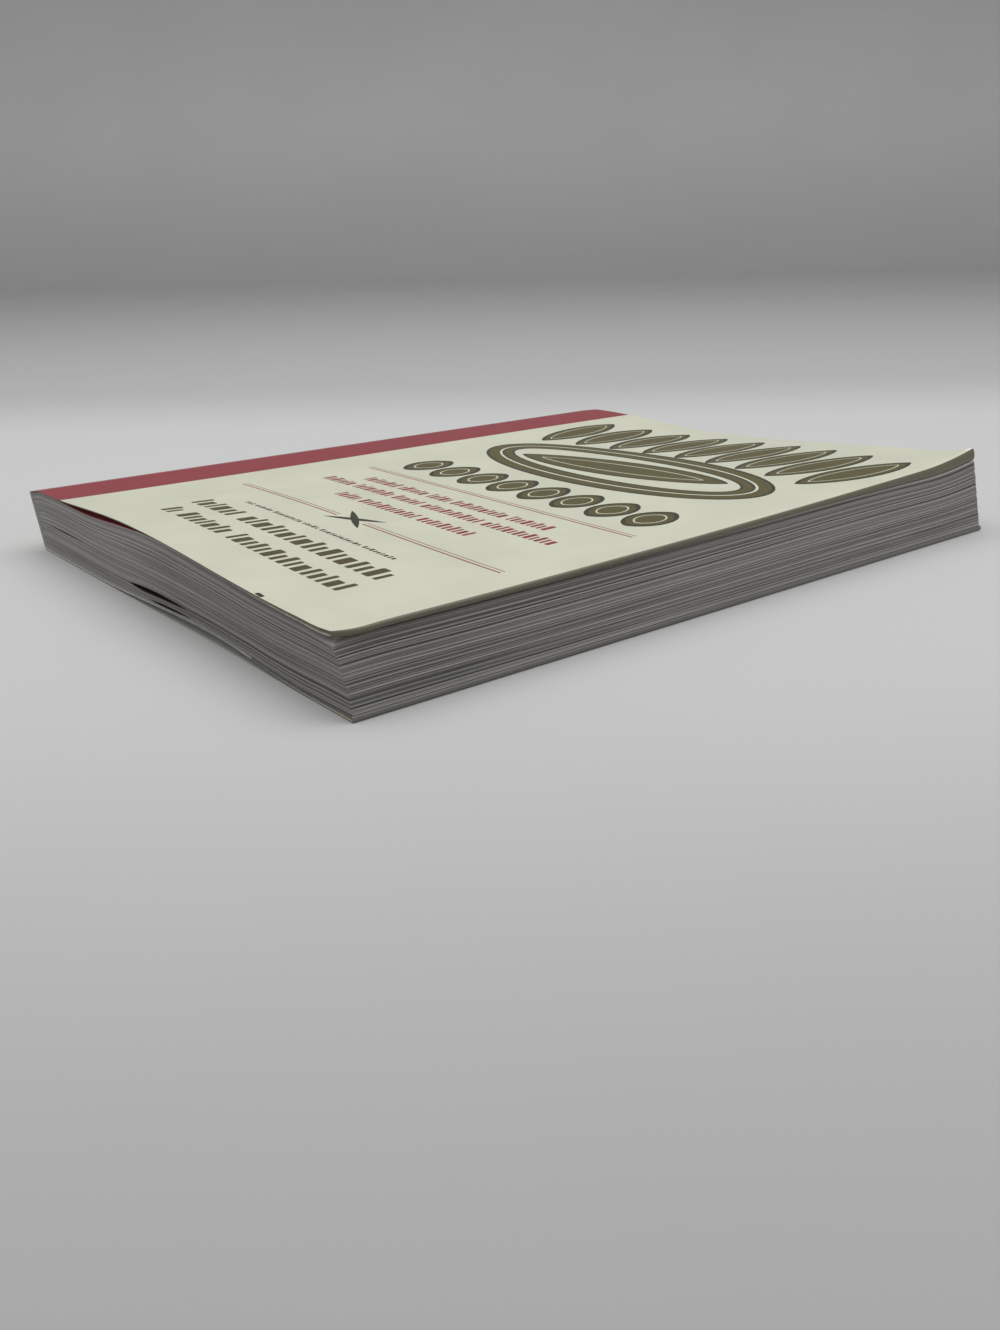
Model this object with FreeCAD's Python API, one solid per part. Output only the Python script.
import FreeCAD, Part

import math
import os

from FreeCAD import Vector

# A thick paperback lying on its back cover. +X runs from the spine to the fore edge, +Y from the tail
# to the head and +Z up, with the origin under the middle of the book. All lengths are millimetres.
# Two plan coordinates are used below: "across" is measured from the spine edge towards the fore edge,
# and "along" from the tail edge towards the head.

# Trim size and board
HEIGHT = 232.0              # tail to head
WIDTH = 182.8               # spine edge to fore edge, along the flat back cover
CARD = 0.32                 # thickness of the cover board
GLUE = 0.6                  # layer of binding glue on the backs of the leaves
GLUE_END = 1.5              # bare stretch of the spine beyond each end of the glue

# Lean of the pile: its top has slid towards the spine and the tail
SPINE_HEIGHT = 18.3         # upper edge of the spine above the table, at the tail
LEAN_ACROSS = 3.2
LEAN_ALONG = 1.2

# Creases where the two covers open
CREASE = 8.5                # crease line from the spine edge
CREASE_RISE = 1.4           # crease above the spine edge, at the tail
CREASE_FALL = 1.3           # how much lower the front crease is at the head
HINGE_GAP = 0.3             # slot between a cover and the fixed strip beside the spine
SPINE_ROUND = 1.2           # outer radius of the two spine corners

# Folded-in flaps of the covers
FLAP = 44.0                 # width of a flap
FOLD = 1.5                  # thickness of the soft round fold at the fore edge
FLAP_AIR = 0.1              # space between a cover and the free edge of its flap
FLAP_RAMP = 8.0             # stretch over which the leaves give way to the flap
FRONT_DRAW = 0.5            # how far the arched front cover falls short of the back cover
FOLD_OPEN = 2.3             # how much wider the front fold stands open at the head
OPEN_REACH = 90.0

# Shape of the front cover
FORE_HEIGHT = 18.9          # its fore edge above the table, at the tail
FORE_RISE = 4.4             # how much higher the fore edge is at the head
TAIL_ARCH = 2.8             # arch of the tail edge
TAIL_REACH = 110.0          # how far in the tail arch fades out
HEAD_DIP = 3.3              # sag of the head edge
HEAD_REACH = 130.0          # how far in the sag fades out
WAVE_PEAK = 80.0            # place of the top of the arch and the foot of the sag, across
ARCH_END = 168.0            # where the arch meets the straight part of the tail edge, across
CORNER_CURL = 2.4           # turned-up tip at the head
CURL_ACROSS = 14.0
CURL_ALONG = 28.0
CORNER_BUMP = 0.8           # pushed-down corner at the tail
BUMP_REACH = 16.0
CORNER_TRIM = 2.8           # how far the pushed-down corner is drawn in
TRIM_REACH = 9.0

# Shape of the back cover
BACK_LIFT = 2.4             # arch of its tail edge off the table
BACK_REACH = 70.0
BACK_START = 40.0
BACK_PEAK = 118.0
BACK_END = 166.0

# The pile of leaves
COVER_CLEAR = 0.3           # space between the leaves and a cover
STRIP_CLEAR = 0.15          # space between the leaves and a fixed strip
FORE_DRAW = 3.0             # how far the top leaves fall short of the bottom ones, at the tail
PAGE_INSET = 0.25           # trimmed leaves behind the cover edges
BUNCHES = 14                # visible bunches of leaves, each with its own edge
RIDGE_FORE = 0.55           # unevenness of the bunches at the fore edge
RIDGE_END = 0.4             # the same at tail and head
MILL = 1.0                  # paper milled off the backs of the bunches before gluing
MILL_RIDGE = 0.3            # unevenness of the backs before the milling
FORE_BEAT = (2.4, 0.0)      # how that unevenness swings from bunch to bunch: turn for each, and start
TAIL_BEAT = (1.9, 1.0)
HEAD_BEAT = (2.9, 2.0)
MILL_BEAT = (2.2, 0.5)
TAIL_GAP = 1.5              # space under the front cover at the tail
GAP_START = 31.0
GAP_PEAK = 68.0
GAP_END = 110.0
GAP_REACH = 32.0

# Slits between bunches at the tail: start, middle and end across, the heights of each, opening, depth
TAIL_SLITS = (
    {"start": 69.0, "middle": 81.0, "end": 106.0,
     "low": 4.4, "mid": 5.2, "high": 6.1, "open": 1.5, "depth": 26.0},
    {"start": 81.0, "middle": 91.0, "end": 108.0,
     "low": 2.9, "mid": 3.4, "high": 4.0, "open": 0.6, "depth": 18.0},
    {"start": 9.0, "middle": 24.0, "end": 41.0,
     "low": 8.8, "mid": 8.7, "high": 8.4, "open": 0.5, "depth": 6.0},
)
SLIT_TIP = 0.05             # what is left of a slit's opening at its inner end
SLIT_PROUD = 1.0            # how far a slit's cutter starts outside the tail

# Stations at which the curved sheets are drawn, as shares of their length
SHEET_ALONG = (0.0, 0.013, 0.034, 0.08, 0.15, 0.26, 0.39, 0.54, 0.69, 0.82, 0.905, 0.957, 0.983, 1.0)
SHEET_ACROSS = (0.0, 0.05, 0.12, 0.19, 0.26, 0.34, 0.44, 0.54, 0.64, 0.73, 0.82, 0.89, 0.94, 0.975, 1.0)
PILE_ALONG = (0.0, 0.035, 0.08, 0.14, 0.22, 0.35, 0.52, 0.7, 0.85, 0.94, 1.0)
PILE_ACROSS = (0.0, 0.025, 0.05, 0.09, 0.16, 0.26, 0.36, 0.46, 0.57, 0.68, 0.76, 0.84, 0.92, 0.96, 1.0)
ARCH_STATIONS = 6


def fade(distance, reach):
    """One at the edge, falling smoothly to nothing at the given reach."""
    if distance >= reach:
        return 0.0
    return (1.0 - distance / reach) ** 2


def swell(place, start, peak, end):
    """Smooth hump that is nothing at start and end and one at the peak."""
    if place <= start or place >= end:
        return 0.0
    if place < peak:
        return 0.5 - 0.5 * math.cos(math.pi * (place - start) / (peak - start))
    return 0.5 + 0.5 * math.cos(math.pi * (place - peak) / (end - peak))


def ramp(place, start, end):
    """Straight climb from nothing at start to one at end."""
    return min(1.0, max(0.0, (place - start) / (end - start)))


def lean(height):
    """Share of the lean at a height: a half at the table, minus a half at the top of the spine."""
    return 0.5 - height / SPINE_HEIGHT


def place(across, along, height):
    """Point of the book from its two plan coordinates and its height."""
    x = across - WIDTH / 2 + LEAN_ACROSS * lean(height)
    y = along - HEIGHT / 2 + LEAN_ALONG * lean(height)
    return Vector(x, y, height)


def sheet_point(across, along, height, side):
    """Point of a cover, whose sections lie in upright planes; side is 1 for the front, 0 for the back."""
    x = across - WIDTH / 2 + LEAN_ACROSS * lean(height)
    y = along - HEIGHT / 2 + LEAN_ALONG * (0.5 - side)
    return Vector(x, y, height)


def crease_height(along):
    """Front crease above the table."""
    return SPINE_HEIGHT + CREASE_RISE - CREASE_FALL * along / HEIGHT


def front_width(along):
    """Front cover from the spine edge to its fold, drawn in at the pushed-down corner."""
    return WIDTH - FRONT_DRAW - CORNER_TRIM * fade(along, TRIM_REACH)


def corner_curl(across, along):
    """Rise of the turned-up tip of the front cover."""
    return CORNER_CURL * fade(WIDTH - FRONT_DRAW - across, CURL_ACROSS) * fade(HEIGHT - along, CURL_ALONG)


def front_fold(along):
    """Thickness of the front cover's round fold, which stands open towards the head."""
    return FOLD + FOLD_OPEN * fade(HEIGHT - along, OPEN_REACH)


def front_height(across, along):
    """Outer face of the front cover, and of the fixed strip beside the spine, above the table."""
    crease = crease_height(along)
    if across < CREASE:
        return crease - CREASE_RISE * (1.0 - across / CREASE)
    share = (across - CREASE) / (WIDTH - CREASE)
    fore = FORE_HEIGHT + FORE_RISE * (along / HEIGHT) ** 2
    arch = TAIL_ARCH * fade(along, TAIL_REACH) * swell(across, CREASE, WAVE_PEAK, ARCH_END)
    dip = HEAD_DIP * fade(HEIGHT - along, HEAD_REACH) * swell(across, CREASE, WAVE_PEAK, WIDTH)
    bump = CORNER_BUMP * fade(along, BUMP_REACH) * fade(WIDTH - across, BUMP_REACH)
    return crease * (1.0 - share) + fore * share + arch - dip - bump + corner_curl(across, along)


def back_height(across, along):
    """Outer face of the back cover above the table."""
    return BACK_LIFT * swell(across, BACK_START, BACK_PEAK, BACK_END) * fade(along, BACK_REACH)


def flap_stack(across, width, fold):
    """What the flap adds under a cover: nothing inside, two boards at its free edge, the fold outside."""
    free_edge = width - FLAP
    thin = CARD + FLAP_AIR
    outer = fold - CARD
    return (thin * ramp(across, free_edge - FLAP_RAMP, free_edge)
            + (outer - thin) * ramp(across, free_edge, width))


def page_top(across, along):
    """Top leaf above the table, under the front cover and its flap."""
    if across < CREASE:
        return front_height(across, along) - CARD - STRIP_CLEAR
    width = WIDTH - FRONT_DRAW
    tail_gap = TAIL_GAP * swell(across, GAP_START, GAP_PEAK, GAP_END) * fade(along, GAP_REACH)
    return (front_height(across, along) - CARD - COVER_CLEAR
            - flap_stack(across, width, front_fold(along)) - tail_gap)


def page_bottom(across, along):
    """Bottom leaf above the table, over the back cover and its flap."""
    if across < CREASE:
        return CARD + STRIP_CLEAR
    return back_height(across, along) + CARD + COVER_CLEAR + flap_stack(across, WIDTH, FOLD)


def spline(points):
    """Smooth edge through the points."""
    curve = Part.BSplineCurve()
    curve.interpolate(points)
    return curve.toShape()


def line(first, last):
    """Straight edge."""
    return Part.LineSegment(first, last).toShape()


def arc(first, middle, last):
    """Round edge through three points."""
    return Part.Arc(first, middle, last).toShape()


def cover_section(along, side, width, height, fold, straight=False):
    """Upright outline of a cover with its folded-in flap, at one place along the book.

    side is 1 for the front cover, whose flap hangs under it, and 0 for the back cover, whose flap lies
    on it. height gives the outer face and fold the thickness of the round fold, and straight draws the
    flat part with straight edges.
    """
    into = -1.0 if side else 1.0
    first = CREASE + HINGE_GAP / 2
    fold_start = width - FOLD / 2
    free_edge = width - FLAP
    panel = [first + (fold_start - first) * share for share in SHEET_ACROSS]
    flap = [free_edge + (fold_start - free_edge) * share for share in SHEET_ACROSS[::2]]

    def at(across, depth):
        return sheet_point(across, along, height(across, along) + into * depth, side)

    def stack(across):
        return flap_stack(across, width, fold) + CARD

    def edge(points):
        return line(points[0], points[-1]) if straight else spline(points)

    outer = edge([at(across, 0.0) for across in panel])
    inner = edge([at(across, CARD) for across in reversed(panel)])
    flap_outer = edge([at(across, stack(across)) for across in reversed(flap)])
    flap_inner = edge([at(across, stack(across) - CARD) for across in flap])
    fold_level = height(fold_start, along)
    full = stack(fold_start)

    def fold_point(across, depth):
        return sheet_point(across, along, fold_level + into * depth, side)

    fold_outer = arc(at(fold_start, 0.0), fold_point(width, full / 2), at(fold_start, full))
    fold_inner = arc(at(fold_start, full - CARD), fold_point(width - CARD, full / 2), at(fold_start, CARD))
    free_end = line(at(free_edge, stack(free_edge)), at(free_edge, stack(free_edge) - CARD))
    crease_end = line(at(first, CARD), at(first, 0.0))
    return Part.Wire([outer, fold_outer, flap_outer, free_end, flap_inner, fold_inner, inner, crease_end])


def front_cover():
    """Front cover: one arched board with its flap folded in at the fore edge."""
    sections = []
    for share in SHEET_ALONG:
        along = HEIGHT * share
        sections.append(cover_section(along, 1, front_width(along), front_height, front_fold(along)))
    return Part.makeLoft(sections, True, False)


def back_cover():
    """Back cover: flat on the table, with only its tail end arched off it."""
    flat_section = cover_section(BACK_REACH, 0, WIDTH, back_height, FOLD, straight=True)
    flat = Part.Face(flat_section).extrude(Vector(0, HEIGHT - BACK_REACH, 0))
    sections = []
    for step in range(ARCH_STATIONS):
        along = BACK_REACH * step / (ARCH_STATIONS - 1)
        sections.append(cover_section(along, 0, WIDTH, back_height, FOLD))
    arched = Part.makeLoft(sections, True, False)
    return flat.fuse(arched).removeSplitter()


def spine_section(along):
    """Outline of the spine board at one place: two strips joined by the spine, with round corners."""
    strip_end = CREASE - HINGE_GAP / 2

    def ring(depth):
        top_in = front_height(strip_end, along) - depth
        top_out = front_height(SPINE_ROUND, along) - depth
        corner = front_height(0.0, along)
        side = depth
        corner_cut = (1.0 - math.sqrt(0.5)) * (SPINE_ROUND - depth)
        return {
            "top_in": spine_point(strip_end, along, top_in),
            "top_out": spine_point(SPINE_ROUND, along, top_out),
            "top_mid": spine_point(side + corner_cut, along, top_out - corner_cut),
            "side_top": spine_point(side, along, corner - SPINE_ROUND),
            "side_low": spine_point(side, along, SPINE_ROUND),
            "low_mid": spine_point(side + corner_cut, along, depth + corner_cut),
            "low_out": spine_point(SPINE_ROUND, along, depth),
            "low_in": spine_point(strip_end, along, depth),
        }

    outer = ring(0.0)
    inner = ring(CARD)
    return Part.Wire([
        line(outer["top_in"], outer["top_out"]),
        arc(outer["top_out"], outer["top_mid"], outer["side_top"]),
        line(outer["side_top"], outer["side_low"]),
        arc(outer["side_low"], outer["low_mid"], outer["low_out"]),
        line(outer["low_out"], outer["low_in"]),
        line(outer["low_in"], inner["low_in"]),
        line(inner["low_in"], inner["low_out"]),
        arc(inner["low_out"], inner["low_mid"], inner["side_low"]),
        line(inner["side_low"], inner["side_top"]),
        arc(inner["side_top"], inner["top_mid"], inner["top_out"]),
        line(inner["top_out"], inner["top_in"]),
        line(inner["top_in"], outer["top_in"]),
    ])


def spine_point(across, along, height):
    """Point of the spine board, whose sections lie in upright planes."""
    return sheet_point(across, along, height, 0.5)


def spine_cover():
    """Spine of the cover with the two narrow strips that are glued to the first and last leaf."""
    return Part.makeLoft([spine_section(0.0), spine_section(HEIGHT)], True, True)


def spine_glue():
    """Layer of binding glue between the backs of the leaves and the spine board."""
    low = SPINE_ROUND
    ends = []
    for along in (GLUE_END, HEIGHT - GLUE_END):
        high = front_height(0.0, along) - SPINE_ROUND
        corners = [spine_point(CARD, along, low), spine_point(CARD, along, high),
                   spine_point(CARD + GLUE, along, high), spine_point(CARD + GLUE, along, low)]
        ends.append(Part.makePolygon(corners + corners[:1]))
    return Part.makeLoft(ends, True, True)


def leaf_sheet(level, rect):
    """Curved sheet of the pile at a level from 0 at its foot to 1 at its top, over a plan rectangle.

    At the tail the fore edge is drawn back, more so the higher the level.
    """
    low_across, high_across, low_along, high_along = rect
    rows = []
    for share_across in PILE_ACROSS:
        row = []
        for share_along in PILE_ALONG:
            along = low_along + (high_along - low_along) * share_along
            fore = high_across - FORE_DRAW * level ** 2 * (1.0 - along / HEIGHT)
            across = low_across + (fore - low_across) * share_across
            foot = page_bottom(across, along)
            height = foot + level * (page_top(across, along) - foot)
            row.append(place(across, along, height))
        rows.append(row)
    surface = Part.BSplineSurface()
    surface.interpolate(rows)
    return surface


def rim(surface):
    """The four edges of a curved sheet, in order round it."""
    low_u, high_u, low_v, high_v = surface.bounds()
    return [surface.vIso(low_v).toShape(), surface.uIso(high_u).toShape(),
            surface.vIso(high_v).toShape(), surface.uIso(low_u).toShape()]


def dent(bunch, ridge, beat):
    """How far one bunch lies back on one side, between nothing and the ridge."""
    turn, start = beat
    return ridge * (0.5 + 0.5 * math.sin(turn * bunch + start))


def bunch_rect(bunch):
    """Plan rectangle of one bunch of leaves, with its own small unevenness on each side."""
    return (CARD + GLUE - MILL - dent(bunch, MILL_RIDGE, MILL_BEAT),
            WIDTH - PAGE_INSET - dent(bunch, RIDGE_FORE, FORE_BEAT),
            PAGE_INSET + dent(bunch, RIDGE_END, TAIL_BEAT),
            HEIGHT - PAGE_INSET - dent(bunch, RIDGE_END, HEAD_BEAT))


def pile():
    """The whole pile as one solid: top and bottom sheets, and a stepped wall round the bunches."""
    faces = [leaf_sheet(0.0, bunch_rect(0)).toShape(),
             leaf_sheet(1.0, bunch_rect(BUNCHES - 1)).toShape()]
    below = rim(leaf_sheet(0.0, bunch_rect(0)))
    for bunch in range(BUNCHES):
        level = (bunch + 1) / BUNCHES
        above = rim(leaf_sheet(level, bunch_rect(bunch)))
        faces += [Part.makeRuledSurface(low, high) for low, high in zip(below, above)]
        below = above
        if bunch + 1 < BUNCHES:
            ledge = rim(leaf_sheet(level, bunch_rect(bunch + 1)))
            faces += [Part.makeRuledSurface(low, high) for low, high in zip(below, ledge)]
            below = ledge
    shell = Part.makeShell(faces)
    shell.sewShape()
    solid = Part.Solid(shell)
    if solid.Volume < 0:
        solid.reverse()
    return solid


def slit_outline(slit, along, opening):
    """Lens between two arcs in an upright plane."""
    start = place(slit["start"], along, slit["low"])
    end = place(slit["end"], along, slit["high"])
    over = place(slit["middle"], along, slit["mid"] + opening / 2)
    under = place(slit["middle"], along, slit["mid"] - opening / 2)
    for point in (start, end, over, under):
        point.y = along - HEIGHT / 2
    return Part.Wire([arc(start, over, end), arc(end, under, start)])


def slit_cutter(slit):
    """Wedge that opens the pile at the tail and closes towards its inside."""
    outside = slit_outline(slit, -SLIT_PROUD, slit["open"])
    inside = slit_outline(slit, slit["depth"], SLIT_TIP)
    return Part.makeLoft([outside, inside], True, True)


def milling():
    """What the binder mills off the backs of the leaves: everything beyond one leaning plane."""
    top = SPINE_HEIGHT + MILL
    corners = [place(CARD + GLUE, 0.0, 0.0), place(CARD + GLUE, 0.0, top),
               place(-2 * MILL, 0.0, top), place(-2 * MILL, 0.0, 0.0)]
    for corner in corners:
        corner.y = -HEIGHT / 2 - MILL
    outline = Part.makePolygon(corners + corners[:1])
    return Part.Face(outline).extrude(Vector(0, HEIGHT + 2 * MILL, 0))


def page_block():
    """All the leaves as one solid, with the slits that stand open between bunches at the tail."""
    block = pile().cut(milling())
    for slit in TAIL_SLITS:
        block = block.cut(slit_cutter(slit))
    return block


def main():
    """Writes one file for each piece of the book."""
    os.makedirs("parts", exist_ok=True)
    pieces = {
        "page_block": page_block,
        "spine_glue": spine_glue,
        "spine_cover": spine_cover,
        "front_cover": front_cover,
        "back_cover": back_cover,
    }
    for name, build in pieces.items():
        shape = build()
        box = shape.BoundBox
        print(name, len(shape.Solids), "solid", "valid" if shape.isValid() else "NOT VALID",
              round(shape.Volume / 1000, 1), "cm3",
              [round(v, 2) for v in (box.XMin, box.XMax, box.YMin, box.YMax, box.ZMin, box.ZMax)])
        shape.exportStep(os.path.join("parts", name + ".step"))


main()
